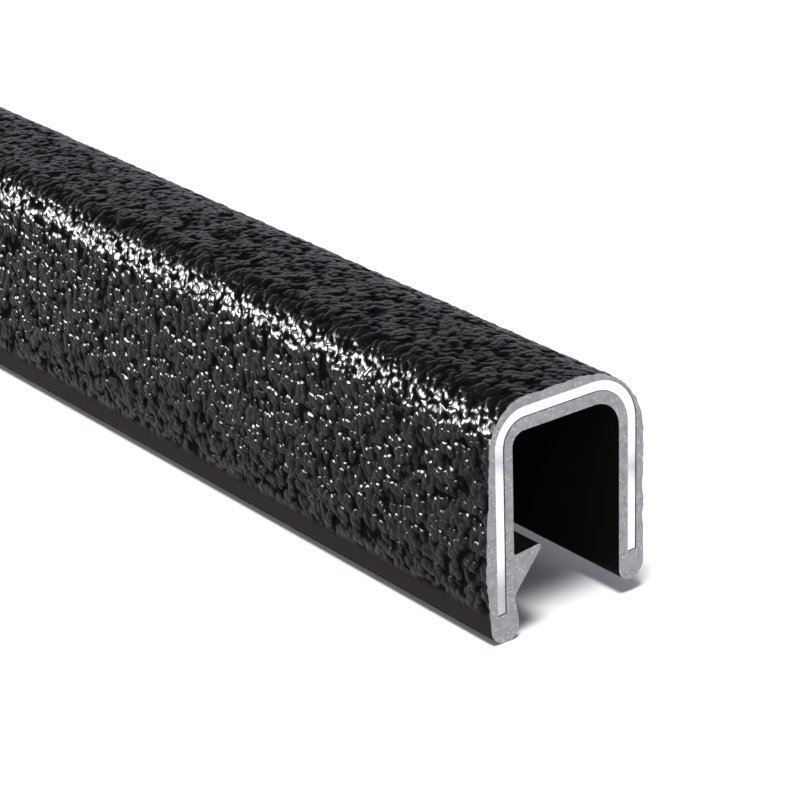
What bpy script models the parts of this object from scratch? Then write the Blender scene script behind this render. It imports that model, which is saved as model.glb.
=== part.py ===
"""Edge trim seal: a clip-on U-channel of black PVC around a bent aluminium strip.

The trim is an extrusion, so each piece is one section drawn in the XZ plane and run
along Y. The mouth opens downward, the crown is on top, and the long leg with the
holding barb is on the -X side. The origin is midway across and along the trim, at the
height of its lowest tip. Units are metres.
"""

import math

import bpy
import bmesh

MM = 0.001

# Length of the cut piece: such trim is sold by the foot
TRIM_LENGTH = 304.8 * MM

# Aluminium strip
CORE_THICKNESS = 0.8 * MM
CORE_WIDTH = 13.6 * MM
CORE_LONG_LEG = 16.1 * MM
CORE_SHORT_LEG = 14.9 * MM
CORE_TIGHT_BEND = 2.85 * MM
CORE_WIDE_BEND = 4.15 * MM

# Clear gap between the strip and the pocket that holds it
BOND_GAP = 0.1 * MM

# PVC around the strip, measured from the strip's faces
CROWN_SKIN = 0.84 * MM
CROWN_LINING = 1.05 * MM
LONG_SHOULDER_SKIN = 0.4 * MM
LONG_BELLY_SKIN = 1.1 * MM
SHORT_SIDE_SKIN = 0.75 * MM
LONG_LEG_LINING = 0.8 * MM
SHORT_LEG_LINING = 0.9 * MM
TIP_LENGTH = 2.4 * MM

# PVC left over the strip's bends
TIGHT_BEND_SKIN = 0.63 * MM
WIDE_BEND_SKIN = 0.28 * MM

# Where the long leg is fullest, above its tip, and how far its tip draws in from there
BELLY_HEIGHT = 5.8 * MM
BELLY_RADIUS = 14.0 * MM
LONG_TIP_DRAW = 0.6 * MM

# Swelling inside the long leg's tip, and the neck between it and the barb
BULB_SWELL = 0.36 * MM
BULB_HEIGHT = 1.65 * MM
NECK_LENGTH = 1.9 * MM
NECK_RADIUS = 0.9 * MM

# Holding barb inside the long leg
BARB_REACH = 2.96 * MM
BARB_HEIGHT = 3.62 * MM
BARB_RISE = 0.3 * MM
BARB_TIP_RADIUS = 0.28 * MM
BARB_ROOT_RADIUS = 0.2 * MM

# Other corner radii of the PVC
TIGHT_INNER_RADIUS = 1.1 * MM
WIDE_INNER_RADIUS = 2.4 * MM
TIP_OUTER_RADIUS = 1.35 * MM
TIP_INNER_RADIUS = 1.1 * MM

# Fineness of the round corners
DEGREES_PER_FACET = 7.5

PVC_BLACK = (0.012, 0.012, 0.013, 1.0)
ALUMINIUM = (0.80, 0.81, 0.82, 1.0)


def clear_scene():
    for obj in list(bpy.data.objects):
        bpy.data.objects.remove(obj, do_unlink=True)


def new_collection(name):
    collection = bpy.data.collections.new(name)
    bpy.context.scene.collection.children.link(collection)
    return collection


def principled(name, colour, roughness, metallic):
    material = bpy.data.materials.new(name)
    material.use_nodes = True
    shader = material.node_tree.nodes["Principled BSDF"]
    shader.inputs["Base Color"].default_value = colour
    shader.inputs["Roughness"].default_value = roughness
    shader.inputs["Metallic"].default_value = metallic
    material.diffuse_color = colour
    return material


def unit_vector(start, end):
    length = math.dist(start, end)
    return ((end[0] - start[0]) / length, (end[1] - start[1]) / length)


def inside_angle(before, corner, after):
    back = unit_vector(corner, before)
    ahead = unit_vector(corner, after)
    cosine = back[0] * ahead[0] + back[1] * ahead[1]
    return math.acos(max(-1.0, min(1.0, cosine)))


def fillet(before, corner, after, tangent):
    """Points of the arc that rounds a corner, starting this far from it on each side."""
    if tangent <= 0:
        return [corner]
    back = unit_vector(corner, before)
    ahead = unit_vector(corner, after)
    half_angle = inside_angle(before, corner, after) / 2
    radius = tangent * math.tan(half_angle)
    reach = tangent / math.cos(half_angle)
    middle = unit_vector((0, 0), (back[0] + ahead[0], back[1] + ahead[1]))
    centre = (corner[0] + middle[0] * reach, corner[1] + middle[1] * reach)
    start = (corner[0] + back[0] * tangent, corner[1] + back[1] * tangent)
    end = (corner[0] + ahead[0] * tangent, corner[1] + ahead[1] * tangent)
    first = math.atan2(start[1] - centre[1], start[0] - centre[0])
    last = math.atan2(end[1] - centre[1], end[0] - centre[0])
    sweep = math.remainder(last - first, 2 * math.pi)
    steps = max(2, math.ceil(abs(math.degrees(sweep)) / DEGREES_PER_FACET))
    return [
        (
            centre[0] + radius * math.cos(first + sweep * i / steps),
            centre[1] + radius * math.sin(first + sweep * i / steps),
        )
        for i in range(steps + 1)
    ]


def rounded_outline(corners):
    """Closed outline through (x, z, radius) corners.

    A corner is rounded by its radius, or by less where the walls beside it are short.
    """
    count = len(corners)
    places = [corner[:2] for corner in corners]
    around = [(places[i - 1], places[i], places[(i + 1) % count]) for i in range(count)]
    tangents = [
        max(0.0, radius) / math.tan(inside_angle(*sides) / 2)
        for sides, (_, _, radius) in zip(around, corners)
    ]
    shares = []
    for i, (before, place, _) in enumerate(around):
        wanted = tangents[i - 1] + tangents[i]
        shares.append(min(1.0, math.dist(before, place) / wanted) if wanted else 1.0)
    points = []
    for i, sides in enumerate(around):
        points += fillet(*sides, tangents[i] * min(shares[i], shares[(i + 1) % count]))
    return points


def radius_over_bend(bend, side_skin, top_skin, bend_skin):
    """Radius of an outer corner that leaves bend_skin over the middle of a strip's bend."""
    diagonal = math.sqrt(2) * (bend + (side_skin + top_skin) / 2)
    return (diagonal - bend - bend_skin) / (math.sqrt(2) - 1)


def strip_corners(grow):
    """Corners of the bent strip's section, with every face moved outward by grow."""
    half = CORE_WIDTH / 2
    top = TIP_LENGTH + CORE_LONG_LEG
    long_end = TIP_LENGTH - grow
    short_end = top - CORE_SHORT_LEG - grow
    inner = half - CORE_THICKNESS - grow
    outer = half + grow
    roof = top - CORE_THICKNESS - grow
    return [
        (-outer, long_end, 0),
        (-inner, long_end, 0),
        (-inner, roof, CORE_TIGHT_BEND - CORE_THICKNESS - grow),
        (inner, roof, CORE_WIDE_BEND - CORE_THICKNESS - grow),
        (inner, short_end, 0),
        (outer, short_end, 0),
        (outer, top + grow, CORE_WIDE_BEND + grow),
        (-outer, top + grow, CORE_TIGHT_BEND + grow),
    ]


def cover_corners():
    """Corners of the PVC section, from the long leg's tip round the channel and back."""
    half = CORE_WIDTH / 2
    core_top = TIP_LENGTH + CORE_LONG_LEG
    crown_top = core_top + CROWN_SKIN
    ceiling = core_top - CORE_THICKNESS - CROWN_LINING
    short_tip = core_top - CORE_SHORT_LEG - TIP_LENGTH
    long_wall = -(half - CORE_THICKNESS - LONG_LEG_LINING)
    short_wall = half - CORE_THICKNESS - SHORT_LEG_LINING
    belly = -(half + LONG_BELLY_SKIN)
    long_shoulder = -(half + LONG_SHOULDER_SKIN)
    short_side = half + SHORT_SIDE_SKIN
    bulb = long_wall + BULB_SWELL
    barb_root = BULB_HEIGHT + NECK_LENGTH
    barb_top = barb_root + BARB_HEIGHT
    tight_radius = radius_over_bend(
        CORE_TIGHT_BEND, LONG_SHOULDER_SKIN, CROWN_SKIN, TIGHT_BEND_SKIN
    )
    wide_radius = radius_over_bend(CORE_WIDE_BEND, SHORT_SIDE_SKIN, CROWN_SKIN, WIDE_BEND_SKIN)
    return [
        (belly + LONG_TIP_DRAW, 0, TIP_OUTER_RADIUS),
        (bulb, 0, TIP_INNER_RADIUS),
        (bulb, BULB_HEIGHT, NECK_RADIUS),
        (long_wall, barb_root, NECK_RADIUS),
        (long_wall + BARB_REACH, barb_top, BARB_TIP_RADIUS),
        (long_wall, barb_top - BARB_RISE, BARB_ROOT_RADIUS),
        (long_wall, ceiling, TIGHT_INNER_RADIUS),
        (short_wall, ceiling, WIDE_INNER_RADIUS),
        (short_wall, short_tip, TIP_INNER_RADIUS),
        (short_side, short_tip, TIP_OUTER_RADIUS),
        (short_side, crown_top, wide_radius),
        (long_shoulder, crown_top, tight_radius),
        (belly, BELLY_HEIGHT, BELLY_RADIUS),
    ]


def origin_of(points):
    """Point of the section that the part's origin sits on: midway across, at its foot."""
    across = [x for x, _ in points]
    return ((min(across) + max(across)) / 2, min(z for _, z in points))


def extrude_section(name, outlines, origin, material, collection):
    """Run filled outlines along Y as one closed mesh, centred on Y = 0."""
    curve = bpy.data.curves.new(name, "CURVE")
    curve.dimensions = "2D"
    curve.fill_mode = "BOTH"
    curve.extrude = TRIM_LENGTH / 2
    for points in outlines:
        spline = curve.splines.new("POLY")
        spline.points.add(len(points) - 1)
        for point, (x, z) in zip(spline.points, points):
            point.co = (x - origin[0], z - origin[1], 0, 1)
        spline.use_cyclic_u = True
    drawn = bpy.data.objects.new(name + "_section", curve)
    collection.objects.link(drawn)
    drawn.rotation_euler.x = math.pi / 2
    bpy.context.view_layer.update()

    depsgraph = bpy.context.evaluated_depsgraph_get()
    mesh = bpy.data.meshes.new_from_object(drawn.evaluated_get(depsgraph))
    mesh.name = name
    piece = bpy.data.objects.new(name, mesh)
    piece.matrix_world = drawn.matrix_world
    collection.objects.link(piece)
    bpy.data.objects.remove(drawn, do_unlink=True)

    shell = bmesh.new()
    shell.from_mesh(mesh)
    bmesh.ops.remove_doubles(shell, verts=shell.verts, dist=0.001 * MM)
    bmesh.ops.recalc_face_normals(shell, faces=shell.faces)
    shell.to_mesh(mesh)
    shell.free()
    mesh.materials.clear()
    mesh.materials.append(material)
    return piece


def build_metal_core(origin, collection):
    material = principled("aluminium_strip", ALUMINIUM, 0.35, 1.0)
    outline = rounded_outline(strip_corners(0))
    return extrude_section("metal_core", [outline], origin, material, collection)


def build_trim_cover(origin, collection):
    material = principled("black_pvc", PVC_BLACK, 0.3, 0.0)
    outline = rounded_outline(cover_corners())
    pocket = rounded_outline(strip_corners(BOND_GAP))
    return extrude_section("trim_cover", [outline, pocket], origin, material, collection)


def main():
    clear_scene()
    parts = new_collection("edge_trim_seal")
    origin = origin_of(rounded_outline(cover_corners()))
    build_metal_core(origin, parts)
    build_trim_cover(origin, parts)


main()
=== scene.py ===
"""Edge trim seal: the pebble-grained cover, the bright strip in its cut ends, and a studio.

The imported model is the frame. The cover is modelled again from the rims of its own cut
face, in runs along its length, so that the grain is real relief. Units are metres.
"""

import math

import bmesh
import bpy
from bpy.props import (
    FloatProperty,
    FloatVectorProperty,
    IntProperty,
    PointerProperty,
)
from mathutils import Matrix, Vector


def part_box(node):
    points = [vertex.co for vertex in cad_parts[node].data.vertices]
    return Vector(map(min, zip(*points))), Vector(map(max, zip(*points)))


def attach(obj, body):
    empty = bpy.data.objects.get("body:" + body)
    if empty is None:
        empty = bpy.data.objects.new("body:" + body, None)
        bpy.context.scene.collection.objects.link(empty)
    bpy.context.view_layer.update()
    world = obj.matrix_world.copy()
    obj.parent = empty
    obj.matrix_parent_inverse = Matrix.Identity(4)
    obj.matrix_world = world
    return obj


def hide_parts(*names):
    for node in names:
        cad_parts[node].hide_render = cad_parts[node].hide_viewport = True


bl_info = {
    "name": "Edge Trim Seal",
    "version": (1, 0, 0),
    "blender": (4, 5, 0),
    "location": "3D View > Sidebar > Edge Trim",
    "description": "Models the cover, the metal strip and the studio of an edge trim seal",
    "category": "Object",
}

MM = 0.001
WELD = 0.001 * MM

# Angles between faces above which an edge stays sharp, or is rounded at the strip's ends
COVER_SHARP_ANGLE = math.radians(65)
STRIP_SHARP_ANGLE = math.radians(35)
STRIP_ROUNDED_ANGLE = math.radians(60)
EDGE_SEGMENTS = 3

# How squarely a face has to look along the trim to be a cut face
CUT_FACING = 0.9

# Shares of the grain's height that its layers make, and the height that stays in place
BROAD_SHARE = 0.6
FINE_SHARE = 0.5
RIPPLE_SHARE = 0.1
MIDDLE_HEIGHT = 0.7

# How far the pebbles of each layer melt together, and how steeply their sides fall
BROAD_SMOOTHNESS = 0.6
BROAD_STEEPNESS = 1.8
FINE_SMOOTHNESS = 0.5
FINE_STEEPNESS = 2.6

# In pebble sizes: the finer pebbles, and the shift that bends pebbles out of line
FINE_SIZE = 0.5
BEND_SHIFT = 1.2

# Waves per pebble of the bends and of the ripples, and the middle of any noise
BEND_WAVES = 0.5
RIPPLE_WAVES = 4.0
NOISE_MIDDLE = 0.5

# Skin: its roughness, the grain weights from which it counts as grained, barely or fully,
# and the grain heights between which its gloss comes up
SKIN_ROUGHNESS = 0.6
BARELY_GRAINED = 0.001
FULLY_GRAINED = 0.5
GLOSS_START = 0.1
GLOSS_FULL = 0.6

# Sawn PVC: its roughness, its flecks, the mottle values between which its stains clear, and
# its fine unevenness
CUT_ROUGHNESS = 0.75
FLECK_SIZE = 0.24 * MM
FLECK_SHARE = 0.3
FLECK_CORE = 0.15
FLECK_RIM = 0.45
MOTTLE_WAVES = 0.5
MOTTLE_DETAIL = 4.0
STAIN_MOTTLE = 0.35
CLEAR_MOTTLE = 0.6
CUT_DEPTH = 0.03 * MM
CUT_UNEVENNESS = 0.5

# Painted shade on the strip's cut ends, darker bands that stand for dimmer reflections: their
# slant, their heights along it and their strengths
BAND_SLANT = 0.33
BAND_HEIGHT = 12.7 * MM
BAND_HALF_WIDTH = 1.8 * MM
BAND_SHADE = 0.75
SHADED_FOOT = 5.0 * MM
FOOT_SHADE = 0.9

# Saw marks on the strip: their slant, marks per metre along and across them, and their depth
MARK_SLANT = math.radians(20)
MARKS_ALONG = 400.0
MARKS_ACROSS = 12000.0
MARK_DEPTH = 0.01 * MM
MARK_UNEVENNESS = 0.3

# The noise range of the saw marks, and the metal's roughness at its two ends
MARK_LOW = 0.3
MARK_HIGH = 0.7
BRIGHT_ROUGHNESS = 0.25
DULL_ROUGHNESS = 0.42

# Floor, and the sines of the heights in the sky where the walls end and the ceiling starts
FLOOR_RADIUS = 4.0
FLOOR_SIDES = 96
FLOOR_ROUGHNESS = 0.9
WALL_TOP = 0.42
CEILING_EDGE = 0.62

# The softboxes face a point this far in from the near end, and each stands away from that
# point by a direction times a distance
AIM_DEPTH = 0.03
FRONT_AWAY = Vector((-0.2, -0.55, 0.81)) * 1.5
TOP_AWAY = Vector((-0.17, -0.2, 0.96)) * 1.5
SIDE_AWAY = Vector((-0.62, 0.73, 0.25)) * 0.9
GLOW_AWAY = Vector((-0.62, 0.73, 0.25)) * 0.95

# Widths and heights of the softboxes
FRONT_SIZE = (0.9, 0.9)
TOP_SIZE = (0.4, 0.4)
SIDE_SIZE = (0.45, 0.37)
GLOW_SIZE = (0.9, 0.7)

# The nearest that the camera can see
NEAREST_SIGHT = 0.01

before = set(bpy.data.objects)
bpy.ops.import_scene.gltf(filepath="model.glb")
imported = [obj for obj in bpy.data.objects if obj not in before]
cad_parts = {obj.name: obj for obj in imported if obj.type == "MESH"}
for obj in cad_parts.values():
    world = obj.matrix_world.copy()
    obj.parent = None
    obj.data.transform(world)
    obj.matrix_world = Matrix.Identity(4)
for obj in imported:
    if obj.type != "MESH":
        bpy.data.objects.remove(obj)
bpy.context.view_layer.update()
COVER_LOW, COVER_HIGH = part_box("trim_cover")
COVER_POINTS = [v.co.copy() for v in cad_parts["trim_cover"].data.vertices]
LONG_TIP_HEIGHT = min(p.z for p in COVER_POINTS if p.x < 0)
SHORT_TIP_HEIGHT = min(p.z for p in COVER_POINTS if p.x > 0)


class CoverSettings(bpy.types.PropertyGroup):
    """Sizes and colours of the PVC cover."""

    runs: IntProperty(
        name="Runs",
        description="Lengths that the cover is modelled in, end to end",
        default=6,
        min=1,
    )
    mesh_step: FloatProperty(
        name="Mesh step",
        description="Distance between the points of the grained skin",
        default=0.175 * MM,
        unit="LENGTH",
        precision=5,
    )
    far_slice: FloatProperty(
        name="Far slice",
        description="Length of the last sliver, whose cut face the side softboxes leave alone",
        default=0.35 * MM,
        unit="LENGTH",
        precision=5,
    )
    smooth_steps: IntProperty(
        name="Smooth steps",
        description="Steps that the smooth faces take along a run",
        default=4,
        min=1,
    )
    pebble_size: FloatProperty(
        name="Pebble size",
        description="Distance from one pebble of the grain to the next",
        default=1.2 * MM,
        unit="LENGTH",
        precision=5,
    )
    pebble_height: FloatProperty(
        name="Pebble height",
        description="Height of a pebble over the grooves round it",
        default=0.16 * MM,
        unit="LENGTH",
        precision=5,
    )
    smooth_foot: FloatProperty(
        name="Smooth foot",
        description="Height above each leg's tip where the grain begins",
        default=2.0 * MM,
        unit="LENGTH",
        precision=5,
    )
    grain_fade: FloatProperty(
        name="Grain fade",
        description="Height over which the grain comes up to its full depth",
        default=1.6 * MM,
        unit="LENGTH",
        precision=5,
    )
    bond_line: FloatProperty(
        name="Bond line",
        description="Width of the fine line between the PVC and the strip",
        default=0.025 * MM,
        unit="LENGTH",
        precision=5,
    )
    crown_grain: FloatProperty(
        name="Crown grain",
        description="Share of the grain's height that is left on top of the crown",
        default=0.65,
        min=0.0,
        max=1.0,
    )
    crown_depth: FloatProperty(
        name="Crown depth",
        description="Depth below the crown's top over which the grain flattens",
        default=1.0 * MM,
        unit="LENGTH",
        precision=5,
    )
    gloss_roughness: FloatProperty(
        name="Gloss roughness",
        description="Roughness of the skin's gloss",
        default=0.12,
        min=0.0,
        max=1.0,
    )
    gloss_index: FloatProperty(
        name="Gloss index",
        description="Refractive index of the skin's gloss",
        default=1.3,
        min=1.0,
    )
    grain_gloss: FloatProperty(
        name="Grain gloss",
        description="Weight of the gloss on top of the pebbles",
        default=0.52,
        min=0.0,
        max=1.0,
    )
    smooth_gloss: FloatProperty(
        name="Smooth gloss",
        description="Weight of the gloss on the smooth lining and tips",
        default=0.09,
        min=0.0,
        max=1.0,
    )
    smooth_colour: FloatVectorProperty(
        name="Smooth colour",
        description="Black of the smooth lining and tips",
        subtype="COLOR",
        default=(0.005, 0.0044, 0.0041),
        min=0.0,
        max=1.0,
    )
    skin_colour: FloatVectorProperty(
        name="Skin colour",
        description="Black of the grained outside",
        subtype="COLOR",
        default=(0.003, 0.0028, 0.0027),
        min=0.0,
        max=1.0,
    )
    # Painted shade: the darker black mixed into the bottoms of the grain's grooves
    painted_groove_shade: FloatVectorProperty(
        name="Painted groove shade",
        description="Black at the bottom of the grain's grooves",
        subtype="COLOR",
        default=(0.0012, 0.0011, 0.0011),
        min=0.0,
        max=1.0,
    )
    cut_colour: FloatVectorProperty(
        name="Cut colour",
        description="Grey of the sawn PVC",
        subtype="COLOR",
        default=(0.22, 0.222, 0.229),
        min=0.0,
        max=1.0,
    )
    stain_colour: FloatVectorProperty(
        name="Stain colour",
        description="Darker grey of the clouds in the sawn PVC",
        subtype="COLOR",
        default=(0.165, 0.166, 0.171),
        min=0.0,
        max=1.0,
    )
    fleck_colour: FloatVectorProperty(
        name="Fleck colour",
        description="Paler grey of the flecks in the sawn PVC",
        subtype="COLOR",
        default=(0.38, 0.385, 0.395),
        min=0.0,
        max=1.0,
    )


class StripSettings(bpy.types.PropertyGroup):
    """Sizes and colours of the aluminium strip."""

    end_setback: FloatProperty(
        name="End setback",
        description="How far the strip's cut ends lie back in the PVC",
        default=0.05 * MM,
        unit="LENGTH",
        precision=5,
    )
    edge_round: FloatProperty(
        name="Edge round",
        description="Radius of the strip's edges at the cut ends",
        default=0.04 * MM,
        unit="LENGTH",
        precision=5,
    )
    metal_colour: FloatVectorProperty(
        name="Metal colour",
        description="Colour of the bright aluminium",
        subtype="COLOR",
        default=(0.93, 0.935, 0.94),
        min=0.0,
        max=1.0,
    )
    # Painted shade: the darker colour of the bands that stand for dimmer reflections on the
    # strip's cut ends
    painted_shade_colour: FloatVectorProperty(
        name="Painted shade colour",
        description="Colour of the painted shade bands that stand for dimmer reflections",
        subtype="COLOR",
        default=(0.42, 0.43, 0.445),
        min=0.0,
        max=1.0,
    )


class StudioSettings(bpy.types.PropertyGroup):
    """Floor, lights and camera."""

    floor_colour: FloatVectorProperty(
        name="Floor colour",
        description="Colour of the studio floor",
        subtype="COLOR",
        default=(0.86, 0.86, 0.86),
        min=0.0,
        max=1.0,
    )
    wall_colour: FloatVectorProperty(
        name="Wall colour",
        description="Colour of the soft light from the sides of the studio",
        subtype="COLOR",
        default=(0.98, 1.0, 1.12),
        min=0.0,
    )
    ceiling_colour: FloatVectorProperty(
        name="Ceiling colour",
        description="Colour of the soft light from above",
        subtype="COLOR",
        default=(0.1, 0.1, 0.11),
        min=0.0,
        max=1.0,
    )
    front_power: FloatProperty(
        name="Front softbox power",
        description="Power of the large softbox above and in front of the cut end, in watts",
        default=27.0,
        min=0.0,
    )
    floor_power: FloatProperty(
        name="Floor softbox power",
        description="Power of the softbox overhead, which lights the floor alone, in watts",
        default=27.0,
        min=0.0,
    )
    side_power: FloatProperty(
        name="Side softbox power",
        description="Power of the small softbox beyond the grained side, in watts",
        default=47.0,
        min=0.0,
    )
    glow_power: FloatProperty(
        name="Glow softbox power",
        description="Power of the broad softbox behind the side softbox, in watts",
        default=18.0,
        min=0.0,
    )
    lens: FloatProperty(
        name="Lens",
        description="Focal length of the camera, in millimetres",
        default=135.0,
        min=1.0,
    )
    camera_place: FloatVectorProperty(
        name="Camera place",
        description="Where the camera stands",
        subtype="XYZ",
        unit="LENGTH",
        default=(-130.551 * MM, -304.742 * MM, 105.296 * MM),
    )
    heading: FloatProperty(
        name="Heading",
        description="How far the camera is turned from +Y towards +X",
        subtype="ANGLE",
        default=math.radians(37.16),
    )
    pitch: FloatProperty(
        name="Pitch",
        description="How far the camera looks down",
        subtype="ANGLE",
        default=math.radians(23.48),
    )
    roll: FloatProperty(
        name="Roll",
        description="Roll of the camera about its view",
        subtype="ANGLE",
        default=math.radians(-1.82),
    )


def pick_nothing():
    if bpy.context.object and bpy.context.object.mode != "OBJECT":
        bpy.ops.object.mode_set(mode="OBJECT")
    bpy.ops.object.select_all(action="DESELECT")


def pick(*objects):
    """Leaves only these objects selected, the first one active, in object mode."""
    pick_nothing()
    for obj in objects:
        obj.select_set(True)
    bpy.context.view_layer.objects.active = objects[0]


def edit(obj, mode="FACE"):
    pick(obj)
    bpy.ops.object.mode_set(mode="EDIT")
    bpy.ops.mesh.select_mode(type=mode)


def select_only(obj, kind, test):
    """Selects just the faces, edges or verts of the mesh in edit mode that pass the test."""
    bpy.ops.mesh.select_all(action="DESELECT")
    shape = bmesh.from_edit_mesh(obj.data)
    for part in getattr(shape, kind):
        if test(part):
            part.select_set(True)
    shape.select_flush_mode()
    bmesh.update_edit_mesh(obj.data)


def middle_of(edge):
    return (edge.verts[0].co + edge.verts[1].co) / 2


def copy_of_node(node, name):
    """A merged copy of a CAD node's mesh as a new object."""
    piece = bpy.data.objects.new(name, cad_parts[node].data.copy())
    bpy.context.scene.collection.objects.link(piece)
    pick(piece)
    bpy.ops.mesh.customdata_custom_splitnormals_clear()
    edit(piece)
    bpy.ops.mesh.select_all(action="SELECT")
    bpy.ops.mesh.remove_doubles(threshold=WELD)
    bpy.ops.object.mode_set(mode="OBJECT")
    return piece


def copy_of(piece, name):
    twin = piece.copy()
    twin.data = piece.data.copy()
    twin.name = name
    bpy.context.scene.collection.objects.link(twin)
    return twin


def cut_rims():
    """The rims of the cover's near cut face as loose edges: its outline and its pocket."""
    rims = copy_of_node("trim_cover", "cover_rims")
    edit(rims)
    select_only(rims, "faces", lambda f: f.calc_center_median().y > COVER_LOW.y + WELD)
    bpy.ops.mesh.delete(type="FACE")
    bpy.ops.mesh.select_all(action="SELECT")
    bpy.ops.mesh.region_to_loop()
    bpy.ops.mesh.select_all(action="INVERT")
    bpy.ops.mesh.delete(type="EDGE_FACE")
    bpy.ops.object.mode_set(mode="OBJECT")
    return rims


def draw_in_pocket(rims, settings):
    """Draws the rim of the pocket in to the strip, which the PVC is moulded round."""
    pocket = rims.vertex_groups.new(name="pocket")
    shape = bmesh.new()
    shape.from_mesh(rims.data)
    outline = set(chain_round(min(shape.verts, key=lambda v: v.co.z)))
    inner = [v.index for v in shape.verts if v not in outline]
    shape.free()
    pocket.add(inner, 1.0, "REPLACE")
    pick(rims)
    bpy.ops.object.modifier_add(type="SHRINKWRAP")
    wrap = rims.modifiers[-1]
    wrap.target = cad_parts["metal_core"]
    wrap.vertex_group = pocket.name
    wrap.offset = settings.bond_line
    bpy.ops.object.modifier_apply(modifier=wrap.name)


def chain_round(start):
    """Vertices of the closed chain of edges that start lies on."""
    return chain_from(start, start.link_edges[0], start.link_edges[1].other_vert(start))


def chain_from(start, first_edge, stop):
    """Vertices met from start along first_edge until stop."""
    chain, vert, edge = [start], start, first_edge
    while vert != stop:
        vert = edge.other_vert(vert)
        chain.append(vert)
        edge = next(e for e in vert.link_edges if e != edge)
    return chain


def skin_chain(shape):
    """Vertices of the cover's outline from the long tip over the crown to the short tip."""
    long_tip = min((v for v in shape.verts if v.co.x < 0), key=lambda v: v.co.z)
    short_tip = min((v for v in shape.verts if v.co.x > 0), key=lambda v: v.co.z)
    sides = [chain_from(long_tip, edge, short_tip) for edge in long_tip.link_edges]
    return max(sides, key=lambda side: max(v.co.z for v in side))


def eased(share):
    """A share from 0 to 1 that leaves 0 and reaches 1 gently."""
    share = max(0.0, min(1.0, share))
    return share * share * (3 - 2 * share)


def grain_weight(place, settings):
    """Share of the full grain height at a point of the skin: less at the tips and the crown."""
    tip = SHORT_TIP_HEIGHT if place.x > 0 else LONG_TIP_HEIGHT
    rise = eased((place.z - tip - settings.smooth_foot) / settings.grain_fade)
    crown = eased(1 - (COVER_HIGH.z - place.z) / settings.crown_depth)
    return rise * (1 - crown * (1 - settings.crown_grain))


def skin_edges(shape, settings):
    """Edges of the outline that carry grain."""
    chain = skin_chain(shape)
    edges = [shape.edges.get(pair) for pair in zip(chain, chain[1:])]
    return [e for e in edges if any(grain_weight(v.co, settings) > 0 for v in e.verts)]


def refine_skin(rims, settings):
    """Cuts the grained part of the outline into steps of even length."""
    edit(rims, "EDGE")
    shape = bmesh.from_edit_mesh(rims.data)
    wanted = {}
    for edge in skin_edges(shape, settings):
        cuts = round(edge.calc_length() / settings.mesh_step) - 1
        if cuts > 0:
            wanted.setdefault(cuts, []).append(middle_of(edge))
    for cuts, middles in wanted.items():
        select_only(
            rims,
            "edges",
            lambda e: any((middle_of(e) - place).length < WELD for place in middles),
        )
        bpy.ops.mesh.subdivide(number_cuts=cuts)


def weigh_grain(rims, settings):
    """Stores the grain's weight on the rims' points, which is 0 off the grained skin."""
    pick(rims)
    shape = bmesh.new()
    shape.from_mesh(rims.data)
    grain = shape.verts.layers.float.new("grain")
    for vert in skin_chain(shape):
        vert[grain] = grain_weight(vert.co, settings)
    shape.to_mesh(rims.data)
    shape.free()


def split_rims(rims, settings):
    """Parts the grained stretch of the outline from the smooth rest of the rims."""
    edit(rims, "EDGE")
    bpy.ops.mesh.select_all(action="DESELECT")
    shape = bmesh.from_edit_mesh(rims.data)
    for edge in skin_edges(shape, settings):
        edge.select_set(True)
    bmesh.update_edit_mesh(rims.data)
    bpy.ops.mesh.separate(type="SELECTED")
    bpy.ops.object.mode_set(mode="OBJECT")
    skin_rim = next(o for o in bpy.context.selected_objects if o != rims)
    return skin_rim, rims


def ends_of(chain):
    """Places across the section, as (x, z), where a chain of edges ends."""
    shape = bmesh.new()
    shape.from_mesh(chain.data)
    places = [(v.co.x, v.co.z) for v in shape.verts if len(v.link_edges) == 1]
    shape.free()
    return places


def run_out(rim, name, start, length, steps):
    """Runs a copy of the rim's edges out along +Y from start, in equal steps."""
    sheet = copy_of(rim, name)
    pick(sheet)
    sheet.data.transform(Matrix.Translation((0, start - COVER_LOW.y, 0)))
    bpy.ops.object.modifier_add(type="SCREW")
    screw = sheet.modifiers[-1]
    screw.axis = "Y"
    screw.angle = 0
    screw.screw_offset = length
    screw.steps = screw.render_steps = steps
    screw.use_merge_vertices = False
    bpy.ops.object.modifier_apply(modifier=screw.name)
    return sheet


def along_trim_at(edge, places):
    """Whether an edge runs along Y at one of these (x, z) places."""
    here, there = (v.co for v in edge.verts)
    if abs(here.y - there.y) < WELD:
        return False
    return any(math.dist((here.x, here.z), place) < WELD for place in places)


def join_sheets(skin, smooth, borders, cuts):
    """Joins the skin to the smooth faces, which first get the skin's points on their borders."""
    if cuts > 0:
        edit(smooth, "EDGE")
        select_only(smooth, "edges", lambda e: along_trim_at(e, borders))
        bpy.ops.mesh.subdivide(number_cuts=cuts, ngon=True)
    pick(skin, smooth)
    bpy.ops.object.join()
    edit(skin)
    bpy.ops.mesh.select_all(action="SELECT")
    bpy.ops.mesh.remove_doubles(threshold=WELD)
    bpy.ops.mesh.normals_make_consistent(inside=False)
    bpy.ops.object.mode_set(mode="OBJECT")


def raise_grain(piece, relief):
    pick(piece)
    bpy.ops.object.modifier_add(type="NODES")
    raised = piece.modifiers[-1]
    raised.node_group = relief
    bpy.ops.object.modifier_apply(modifier=raised.name)


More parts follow.
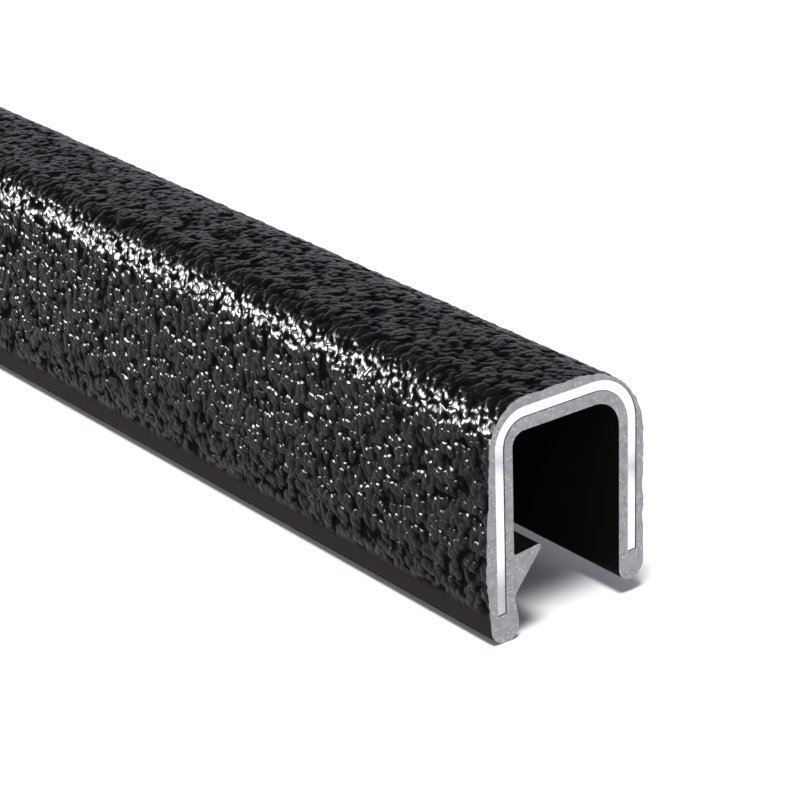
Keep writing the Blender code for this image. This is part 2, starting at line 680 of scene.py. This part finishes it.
def close_ends(piece, ends):
    """Fills both ends of a run with flat cut faces, in the second material."""
    edit(piece, "EDGE")
    for y in ends:
        select_only(
            piece,
            "edges",
            lambda e: e.is_boundary and all(abs(v.co.y - y) < WELD for v in e.verts),
        )
        bpy.ops.mesh.fill(use_beauty=False)
    bpy.ops.mesh.select_all(action="SELECT")
    bpy.ops.mesh.normals_make_consistent(inside=False)
    bpy.ops.mesh.select_mode(type="FACE")
    select_only(piece, "faces", lambda f: abs(f.normal.y) > CUT_FACING)
    piece.active_material_index = 1
    bpy.ops.object.material_slot_assign()
    bpy.ops.object.mode_set(mode="OBJECT")
    bpy.ops.object.shade_smooth_by_angle(angle=COVER_SHARP_ANGLE)


def build_run(name, rims, start, length, settings, relief):
    """A length of the cover with its grain raised, still open at both ends."""
    skin_rim, smooth_rims = rims
    borders = ends_of(skin_rim)
    smooth_steps = min(settings.smooth_steps, round(length / settings.mesh_step))
    fine_steps = round(length / settings.mesh_step / smooth_steps)
    run = run_out(skin_rim, name, start, length, fine_steps * smooth_steps)
    smooth = run_out(smooth_rims, "smooth_sheet", start, length, smooth_steps)
    join_sheets(run, smooth, borders, fine_steps - 1)
    raise_grain(run, relief)
    return run


def finish_run(run, skin, cut):
    """Closes a run's ends and gives it its finishes and its place in the model."""
    run.data.materials.clear()
    run.data.materials.append(skin)
    run.data.materials.append(cut)
    along = [v.co.y for v in run.data.vertices]
    close_ends(run, (min(along), max(along)))
    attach(run, "root")
    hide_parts("trim_cover")


def lengths_of_cover(settings):
    """Names, starts and lengths of the equal runs and of the far slice."""
    length = (COVER_HIGH.y - COVER_LOW.y - settings.far_slice) / settings.runs
    lengths = [
        (f"cover_run_{number + 1}", COVER_LOW.y + number * length, length)
        for number in range(settings.runs)
    ]
    far_start = COVER_HIGH.y - settings.far_slice
    return lengths + [("cover_far_slice", far_start, settings.far_slice)]


def build_cover(settings):
    skin, cut = pvc_skin(settings), pvc_cut(settings)
    relief = relief_nodes(settings)
    rims = cut_rims()
    draw_in_pocket(rims, settings)
    refine_skin(rims, settings)
    weigh_grain(rims, settings)
    split = split_rims(rims, settings)
    for name, start, length in lengths_of_cover(settings):
        run = build_run(name, split, start, length, settings, relief)
        finish_run(run, skin, cut)
    for spare in split:
        bpy.data.objects.remove(spare, do_unlink=True)


def build_strip(settings):
    strip = copy_of_node("metal_core", "aluminium_strip")
    edit(strip, "VERT")
    for end in (-1, 1):
        select_only(strip, "verts", lambda v: v.co.y * end > 0)
        bpy.ops.transform.translate(value=(0, -end * settings.end_setback, 0))
    bpy.ops.mesh.select_mode(type="EDGE")
    select_only(
        strip,
        "edges",
        lambda e: len(e.link_faces) == 2
        and e.calc_face_angle() > STRIP_ROUNDED_ANGLE
        and abs(e.verts[0].co.y - e.verts[1].co.y) < WELD,
    )
    bpy.ops.mesh.bevel(
        offset=settings.edge_round, segments=EDGE_SEGMENTS, clamp_overlap=True
    )
    bpy.ops.object.mode_set(mode="OBJECT")
    bpy.ops.object.shade_smooth_by_angle(angle=STRIP_SHARP_ANGLE)
    strip.data.materials.clear()
    strip.data.materials.append(bright_aluminium(settings))
    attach(strip, "root")
    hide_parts("metal_core")


def new_node(tree, kind, label="", **values):
    node = tree.nodes.new(kind)
    node.label = label
    for name, value in values.items():
        setattr(node, name, value)
    return node


def feed(tree, socket, value):
    """Links a socket to the input, or sets the input's value."""
    if isinstance(value, bpy.types.NodeSocket):
        tree.links.new(value, socket)
    elif value is not None:
        socket.default_value = value


def arithmetic(tree, operation, *values, clamp=False):
    node = new_node(tree, "ShaderNodeMath", operation=operation, use_clamp=clamp)
    for socket, value in zip(node.inputs, values):
        feed(tree, socket, value)
    return node.outputs[0]


def vector_arithmetic(tree, operation, *values, scale=None):
    node = new_node(tree, "ShaderNodeVectorMath", operation=operation)
    for socket, value in zip(node.inputs, values):
        feed(tree, socket, value)
    if scale is not None:
        feed(tree, node.inputs["Scale"], scale)
    return node.outputs[0]


def noise(tree, place, scale, detail=2.0, label="", output="Fac"):
    node = new_node(tree, "ShaderNodeTexNoise", label)
    feed(tree, node.inputs["Vector"], place)
    feed(tree, node.inputs["Scale"], scale)
    node.inputs["Detail"].default_value = detail
    return node.outputs[output]


def colour_mix(tree, share, first, second):
    node = new_node(tree, "ShaderNodeMix", data_type="RGBA")
    colours = [s for s in node.inputs if s.type == "RGBA"]
    feed(tree, node.inputs["Factor"], share)
    feed(tree, colours[0], first)
    feed(tree, colours[1], second)
    return next(s for s in node.outputs if s.type == "RGBA")


def spread(tree, value, low, high, to_low=0.0, to_high=1.0):
    """Maps a value's range to another, held at its ends."""
    node = new_node(tree, "ShaderNodeMapRange")
    for socket, number in zip(node.inputs, (value, low, high, to_low, to_high)):
        feed(tree, socket, number)
    return node.outputs[0]


def pebble_layer(tree, place, size, smoothness, steepness):
    """Rounded pebbles of one size, bent out of line: 1 on their tops, near 0 between them."""
    cells = arithmetic(tree, "DIVIDE", 1.0, size)
    waves = arithmetic(tree, "MULTIPLY", cells, BEND_WAVES)
    bends = noise(tree, place, waves, detail=1.0, label="bends in the grain", output="Color")
    centred = vector_arithmetic(tree, "SUBTRACT", bends, (NOISE_MIDDLE,) * 3)
    reach = arithmetic(tree, "MULTIPLY", size, BEND_SHIFT)
    shift = vector_arithmetic(tree, "SCALE", centred, scale=reach)
    pebbles = new_node(tree, "ShaderNodeTexVoronoi", "pebbles", feature="SMOOTH_F1")
    feed(tree, pebbles.inputs["Vector"], vector_arithmetic(tree, "ADD", place, shift))
    feed(tree, pebbles.inputs["Scale"], cells)
    pebbles.inputs["Smoothness"].default_value = smoothness
    out = pebbles.outputs["Distance"]
    fall = arithmetic(tree, "MULTIPLY", arithmetic(tree, "MULTIPLY", out, out), steepness)
    return arithmetic(tree, "SUBTRACT", 1.0, fall)


def pebble_pattern(tree, place, size):
    """Height of the grain: near 1 on the pebbles' tops, near 0 in the valleys between them.

    Broad pebbles carry finer ones half as wide, and both are rippled. The same nodes work
    in geometry and in shaders, so relief and fine shading agree.
    """
    broad = pebble_layer(tree, place, size, BROAD_SMOOTHNESS, BROAD_STEEPNESS)
    fine_size = arithmetic(tree, "MULTIPLY", size, FINE_SIZE)
    fine = pebble_layer(tree, place, fine_size, FINE_SMOOTHNESS, FINE_STEEPNESS)
    waves = arithmetic(tree, "DIVIDE", RIPPLE_WAVES, size)
    ripples = noise(tree, place, waves, detail=1.0, label="ripples")
    centred = arithmetic(tree, "SUBTRACT", ripples, NOISE_MIDDLE)
    height = arithmetic(tree, "MULTIPLY", broad, BROAD_SHARE)
    height = arithmetic(tree, "MULTIPLY_ADD", fine, FINE_SHARE, height)
    return arithmetic(tree, "MULTIPLY_ADD", centred, RIPPLE_SHARE, height)


def stored(tree, shape, name, value):
    """The shape with a vector kept on its points under this name."""
    store = new_node(tree, "GeometryNodeStoreNamedAttribute", data_type="FLOAT_VECTOR")
    feed(tree, store.inputs["Geometry"], shape)
    feed(tree, store.inputs["Name"], name)
    feed(tree, store.inputs["Value"], value)
    return store.outputs[0]


def relief_nodes(settings):
    """Geometry nodes that raise the grain by each point's grain weight."""
    tree = bpy.data.node_groups.new("Pebble relief", "GeometryNodeTree")
    tree.interface.new_socket("Geometry", in_out="INPUT", socket_type="NodeSocketGeometry")
    tree.interface.new_socket("Geometry", in_out="OUTPUT", socket_type="NodeSocketGeometry")
    shape = new_node(tree, "NodeGroupInput").outputs[0]
    place = new_node(tree, "GeometryNodeInputPosition").outputs[0]
    normal = new_node(tree, "GeometryNodeInputNormal").outputs[0]
    shape = stored(tree, shape, "flat_place", place)
    shape = stored(tree, shape, "flat_normal", normal)
    grain = new_node(tree, "GeometryNodeInputNamedAttribute", data_type="FLOAT")
    feed(tree, grain.inputs["Name"], "grain")
    height = pebble_pattern(tree, place, settings.pebble_size)
    centred = arithmetic(tree, "SUBTRACT", height, MIDDLE_HEIGHT)
    rise = arithmetic(tree, "MULTIPLY", centred, settings.pebble_height)
    rise = arithmetic(tree, "MULTIPLY", rise, grain.outputs["Attribute"])
    move = new_node(tree, "GeometryNodeSetPosition")
    feed(tree, move.inputs["Geometry"], shape)
    feed(tree, move.inputs["Offset"], vector_arithmetic(tree, "SCALE", normal, scale=rise))
    result = new_node(tree, "NodeGroupOutput")
    feed(tree, result.inputs[0], move.outputs[0])
    return tree


def shader_group(name, inputs, outputs):
    """An empty shader node group with float inputs and outputs. Returns it and its ends."""
    group = bpy.data.node_groups.new(name, "ShaderNodeTree")
    for label in inputs:
        group.interface.new_socket(label, in_out="INPUT", socket_type="NodeSocketFloat")
    for label in outputs:
        group.interface.new_socket(label, in_out="OUTPUT", socket_type="NodeSocketFloat")
    source = new_node(group, "NodeGroupInput")
    result = new_node(group, "NodeGroupOutput")
    return group, source.outputs, result.inputs


def pebble_group():
    """The grain's height and its weight, for the skin's fine shading."""
    name = "Pebble grain"
    if name in bpy.data.node_groups:
        return bpy.data.node_groups[name]
    group, source, result = shader_group(name, ("Size",), ("Height", "Grain"))
    place = new_node(group, "ShaderNodeAttribute", attribute_name="flat_place")
    grain = new_node(group, "ShaderNodeAttribute", attribute_name="grain")
    height = pebble_pattern(group, place.outputs["Vector"], source["Size"])
    feed(group, result["Height"], height)
    feed(group, result["Grain"], grain.outputs["Fac"])
    return group


def fleck_group():
    """Scattered specks and a slow mottle, for the cut faces."""
    name = "Flecks"
    if name in bpy.data.node_groups:
        return bpy.data.node_groups[name]
    group, source, result = shader_group(name, ("Size", "Share"), ("Fleck", "Mottle"))
    place = new_node(group, "ShaderNodeTexCoord").outputs["Object"]
    cells = arithmetic(group, "DIVIDE", 1.0, source["Size"])
    specks = new_node(group, "ShaderNodeTexVoronoi", "specks")
    feed(group, specks.inputs["Vector"], place)
    feed(group, specks.inputs["Scale"], cells)
    chance = new_node(group, "ShaderNodeSeparateColor")
    feed(group, chance.inputs[0], specks.outputs["Color"])
    chosen = arithmetic(group, "LESS_THAN", chance.outputs[0], source["Share"])
    speck = spread(group, specks.outputs["Distance"], FLECK_CORE, FLECK_RIM, 1.0, 0.0)
    feed(group, result["Fleck"], arithmetic(group, "MULTIPLY", chosen, speck))
    slow = arithmetic(group, "MULTIPLY", cells, MOTTLE_WAVES)
    feed(group, result["Mottle"], noise(group, place, slow, MOTTLE_DETAIL))
    return group


def new_material(name):
    """A material with an empty Principled shader. Returns it, its tree and the shader."""
    material = bpy.data.materials.new(name)
    material.use_nodes = True
    tree = material.node_tree
    return material, tree, tree.nodes["Principled BSDF"]


def placed_group(tree, group, **values):
    node = new_node(tree, "ShaderNodeGroup", group.name, node_tree=group)
    for name, value in values.items():
        node.inputs[name].default_value = value
    return node.outputs


def opaque(colour):
    return (*colour, 1.0)


def bumped(tree, height, strength, depth, normal=None):
    """The surface's normal, or another one, made uneven by a height."""
    bump = new_node(tree, "ShaderNodeBump")
    bump.inputs["Strength"].default_value = strength
    bump.inputs["Distance"].default_value = depth
    feed(tree, bump.inputs["Height"], height)
    feed(tree, bump.inputs["Normal"], normal)
    return bump.outputs[0]


def skin_tone(tree, grain, pebbled, settings):
    """Black that is palest on the pebbles' tops and darkened into the grooves as painted shade,
    and of one tone on the smooth skin.
    """
    shaded_groove, top = opaque(settings.painted_groove_shade), opaque(settings.skin_colour)
    tone = colour_mix(tree, grain["Height"], shaded_groove, top)
    return colour_mix(tree, pebbled, opaque(settings.smooth_colour), tone)


def skin_gloss(tree, grain, pebbled, settings):
    """Weight of the gloss: strong on the pebbles' tops and faint on the smooth skin. It fades
    out down into the grooves, which leaves them black as painted shade.
    """
    bare = arithmetic(tree, "SUBTRACT", 1.0, grain["Grain"])
    smooth_gloss = arithmetic(tree, "MULTIPLY", bare, settings.smooth_gloss)
    tops = spread(tree, grain["Height"], GLOSS_START, GLOSS_FULL, 0.0, settings.grain_gloss)
    tops = arithmetic(tree, "MULTIPLY", tops, pebbled)
    return arithmetic(tree, "MAXIMUM", tops, smooth_gloss)


def flat_skin_normal(tree, grain):
    """The normal before the grain was raised, where there is grain."""
    flat = new_node(tree, "ShaderNodeAttribute", attribute_name="flat_normal")
    turned = new_node(tree, "ShaderNodeVectorTransform", vector_type="NORMAL")
    turned.convert_from, turned.convert_to = "OBJECT", "WORLD"
    feed(tree, turned.inputs[0], flat.outputs["Vector"])
    true_normal = new_node(tree, "ShaderNodeNewGeometry").outputs["Normal"]
    mix = new_node(tree, "ShaderNodeMix", data_type="VECTOR")
    vectors = [s for s in mix.inputs if s.type == "VECTOR" and s.enabled]
    grained = arithmetic(tree, "GREATER_THAN", grain["Grain"], BARELY_GRAINED)
    feed(tree, mix.inputs["Factor"], grained)
    feed(tree, vectors[0], true_normal)
    feed(tree, vectors[1], turned.outputs[0])
    return next(s for s in mix.outputs if s.type == "VECTOR")


def pvc_skin(settings):
    material, tree, shader = new_material("black_pvc_skin")
    grain = placed_group(tree, pebble_group(), Size=settings.pebble_size)
    pebbled = spread(tree, grain["Grain"], 0.0, FULLY_GRAINED)
    feed(tree, shader.inputs["Base Color"], skin_tone(tree, grain, pebbled, settings))
    feed(tree, shader.inputs["Coat Weight"], skin_gloss(tree, grain, pebbled, settings))
    shader.inputs["Coat Roughness"].default_value = settings.gloss_roughness
    shader.inputs["Coat IOR"].default_value = settings.gloss_index
    shader.inputs["Roughness"].default_value = SKIN_ROUGHNESS
    shader.inputs["Specular IOR Level"].default_value = 0.0
    height = arithmetic(tree, "MULTIPLY", grain["Height"], grain["Grain"])
    flat = flat_skin_normal(tree, grain)
    normal = bumped(tree, height, 1.0, settings.pebble_height, flat)
    feed(tree, shader.inputs["Normal"], normal)
    feed(tree, shader.inputs["Coat Normal"], normal)
    return material


def pvc_cut(settings):
    material, tree, shader = new_material("cut_pvc")
    flecks = placed_group(tree, fleck_group(), Size=FLECK_SIZE, Share=FLECK_SHARE)
    clouds = spread(tree, flecks["Mottle"], STAIN_MOTTLE, CLEAR_MOTTLE)
    tone = colour_mix(tree, clouds, opaque(settings.stain_colour), opaque(settings.cut_colour))
    tone = colour_mix(tree, flecks["Fleck"], tone, opaque(settings.fleck_colour))
    feed(tree, shader.inputs["Base Color"], tone)
    shader.inputs["Roughness"].default_value = CUT_ROUGHNESS
    normal = bumped(tree, flecks["Mottle"], CUT_UNEVENNESS, CUT_DEPTH)
    feed(tree, shader.inputs["Normal"], normal)
    return material


def painted_shade_bands(tree, place):
    """Painted shade across the strip's cut ends, for dimmer reflections: a soft band at its
    bends, and a darkening at its long foot.
    """
    slant = new_node(tree, "ShaderNodeVectorMath", "slant", operation="DOT_PRODUCT")
    feed(tree, slant.inputs[0], place)
    slant.inputs[1].default_value = (BAND_SLANT, 0.0, 1.0)
    height = slant.outputs["Value"]
    off = arithmetic(tree, "ABSOLUTE", arithmetic(tree, "SUBTRACT", height, BAND_HEIGHT))
    bend = spread(tree, off, 0.0, BAND_HALF_WIDTH, BAND_SHADE, 0.0)
    foot = spread(tree, height, SHADED_FOOT / 2, SHADED_FOOT, FOOT_SHADE, 0.0)
    return arithmetic(tree, "MAXIMUM", bend, foot)


def saw_marks(tree, place):
    """Noise drawn out into the fine marks that a saw leaves."""
    stretch = new_node(tree, "ShaderNodeMapping", "saw marks")
    feed(tree, stretch.inputs["Vector"], place)
    stretch.inputs["Rotation"].default_value = (0.0, MARK_SLANT, 0.0)
    stretch.inputs["Scale"].default_value = (MARKS_ALONG, MARKS_ALONG, MARKS_ACROSS)
    return noise(tree, stretch.outputs[0], 1.0)


def bright_aluminium(settings):
    material, tree, shader = new_material("bright_aluminium")
    shader.inputs["Metallic"].default_value = 1.0
    place = new_node(tree, "ShaderNodeTexCoord").outputs["Object"]
    # Painted shade: darker bands mixed into the metal's colour where its reflections are dimmer
    share = painted_shade_bands(tree, place)
    tone = colour_mix(tree, share, opaque(settings.metal_colour), opaque(settings.painted_shade_colour))
    feed(tree, shader.inputs["Base Color"], tone)
    marks = saw_marks(tree, place)
    gloss = spread(tree, marks, MARK_LOW, MARK_HIGH, BRIGHT_ROUGHNESS, DULL_ROUGHNESS)
    feed(tree, shader.inputs["Roughness"], gloss)
    feed(tree, shader.inputs["Normal"], bumped(tree, marks, MARK_UNEVENNESS, MARK_DEPTH))
    return material


def floor_material(settings):
    material, _, shader = new_material("studio_floor")
    shader.inputs["Base Color"].default_value = opaque(settings.floor_colour)
    shader.inputs["Roughness"].default_value = FLOOR_ROUGHNESS
    return material


def build_floor(settings):
    pick_nothing()
    bpy.ops.mesh.primitive_circle_add(
        vertices=FLOOR_SIDES, radius=FLOOR_RADIUS, fill_type="NGON"
    )
    floor = bpy.context.object
    floor.name = "studio_floor"
    floor.data.materials.append(floor_material(settings))


def add_softbox(name, aim, away, size, power):
    """A rectangular area light that stands away from a point and faces it."""
    lamp = bpy.data.lights.new(name, "AREA")
    lamp.shape = "RECTANGLE"
    lamp.size, lamp.size_y = size
    lamp.energy = power
    box = bpy.data.objects.new(name, lamp)
    box.location = aim + away
    box.rotation_euler = (aim - box.location).to_track_quat("-Z", "Y").to_euler()
    bpy.context.scene.collection.objects.link(box)
    return box


def link_lamps(state, names, *lamps):
    """Makes lamps light the named objects alone (INCLUDE) or all but them (EXCLUDE)."""
    receivers = bpy.data.collections.new("lamp_link")
    for name in names:
        receivers.objects.link(bpy.data.objects[name])
    for receiver in receivers.collection_objects:
        receiver.light_linking.link_state = state
    for lamp in lamps:
        lamp.light_linking.receiver_collection = receivers


def build_sky(settings):
    """Soft light from all round, bright at the walls and dim at the ceiling."""
    world = bpy.data.worlds.new("studio_sky")
    bpy.context.scene.world = world
    world.use_nodes = True
    tree = world.node_tree
    towards = new_node(tree, "ShaderNodeTexCoord").outputs["Generated"]
    parts = new_node(tree, "ShaderNodeSeparateXYZ")
    feed(tree, parts.inputs[0], towards)
    overhead = spread(tree, parts.outputs["Z"], WALL_TOP, CEILING_EDGE)
    walls, ceiling = opaque(settings.wall_colour), opaque(settings.ceiling_colour)
    colour = colour_mix(tree, overhead, walls, ceiling)
    feed(tree, tree.nodes["Background"].inputs["Color"], colour)


def build_lights(settings):
    """Four softboxes. The floor has one to itself, and the side ones leave the far end alone."""
    near_end = Vector((0, COVER_LOW.y, COVER_HIGH.z / 2))
    aim = near_end + Vector((0, AIM_DEPTH, 0))
    front = add_softbox("front_softbox", aim, FRONT_AWAY, FRONT_SIZE, settings.front_power)
    side = add_softbox("side_softbox", aim, SIDE_AWAY, SIDE_SIZE, settings.side_power)
    glow = add_softbox("side_glow", aim, GLOW_AWAY, GLOW_SIZE, settings.glow_power)
    top = add_softbox("floor_softbox", aim, TOP_AWAY, TOP_SIZE, settings.floor_power)
    link_lamps("INCLUDE", ["studio_floor"], top)
    link_lamps("EXCLUDE", ["studio_floor"], front)
    link_lamps("EXCLUDE", ["studio_floor", "cover_far_slice"], side, glow)
    build_sky(settings)
    bpy.context.scene.view_settings.view_transform = "Standard"


def build_camera(settings):
    lens = bpy.data.cameras.new("photo_camera")
    lens.lens = settings.lens
    lens.clip_start = NEAREST_SIGHT
    camera = bpy.data.objects.new("photo_camera", lens)
    bpy.context.scene.collection.objects.link(camera)
    camera.matrix_world = (
        Matrix.Translation(settings.camera_place)
        @ Matrix.Rotation(-settings.heading, 4, "Z")
        @ Matrix.Rotation(math.pi / 2 - settings.pitch, 4, "X")
        @ Matrix.Rotation(settings.roll, 4, "Z")
    )
    bpy.context.scene.camera = camera


class TRIM_OT_cover(bpy.types.Operator):
    """Model the grained PVC cover from the rims of its cut face"""

    bl_idname = "trim.cover"
    bl_label = "Cover"

    def execute(self, context):
        build_cover(context.scene.trim_cover)
        return {"FINISHED"}


class TRIM_OT_strip(bpy.types.Operator):
    """Model the aluminium strip with rounded edges at its cut ends"""

    bl_idname = "trim.strip"
    bl_label = "Metal strip"

    def execute(self, context):
        build_strip(context.scene.trim_strip)
        return {"FINISHED"}


class TRIM_OT_studio(bpy.types.Operator):
    """Set up the floor, the lights and the camera"""

    bl_idname = "trim.studio"
    bl_label = "Studio"

    def execute(self, context):
        settings = context.scene.trim_studio
        build_floor(settings)
        build_lights(settings)
        build_camera(settings)
        return {"FINISHED"}


OPERATORS = (TRIM_OT_cover, TRIM_OT_strip, TRIM_OT_studio)


class TRIM_PT_panel(bpy.types.Panel):
    """Buttons and sizes of the edge trim seal"""

    bl_label = "Edge Trim"
    bl_idname = "TRIM_PT_panel"
    bl_space_type = "VIEW_3D"
    bl_region_type = "UI"
    bl_category = "Edge Trim"

    def draw(self, context):
        for operator, (group, settings) in zip(OPERATORS, GROUPS.items()):
            box = self.layout.box()
            box.operator(operator.bl_idname)
            for name in settings.__annotations__:
                box.prop(getattr(context.scene, group), name)


GROUPS = {
    "trim_cover": CoverSettings,
    "trim_strip": StripSettings,
    "trim_studio": StudioSettings,
}


def register():
    for item in (*GROUPS.values(), *OPERATORS, TRIM_PT_panel):
        bpy.utils.register_class(item)
    for name, settings in GROUPS.items():
        setattr(bpy.types.Scene, name, PointerProperty(type=settings))


def unregister():
    for name in GROUPS:
        delattr(bpy.types.Scene, name)
    for item in reversed((*GROUPS.values(), *OPERATORS, TRIM_PT_panel)):
        bpy.utils.unregister_class(item)


def main():
    register()
    bpy.ops.trim.cover()
    bpy.ops.trim.strip()
    bpy.ops.trim.studio()


if __name__ == "__main__":
    main()
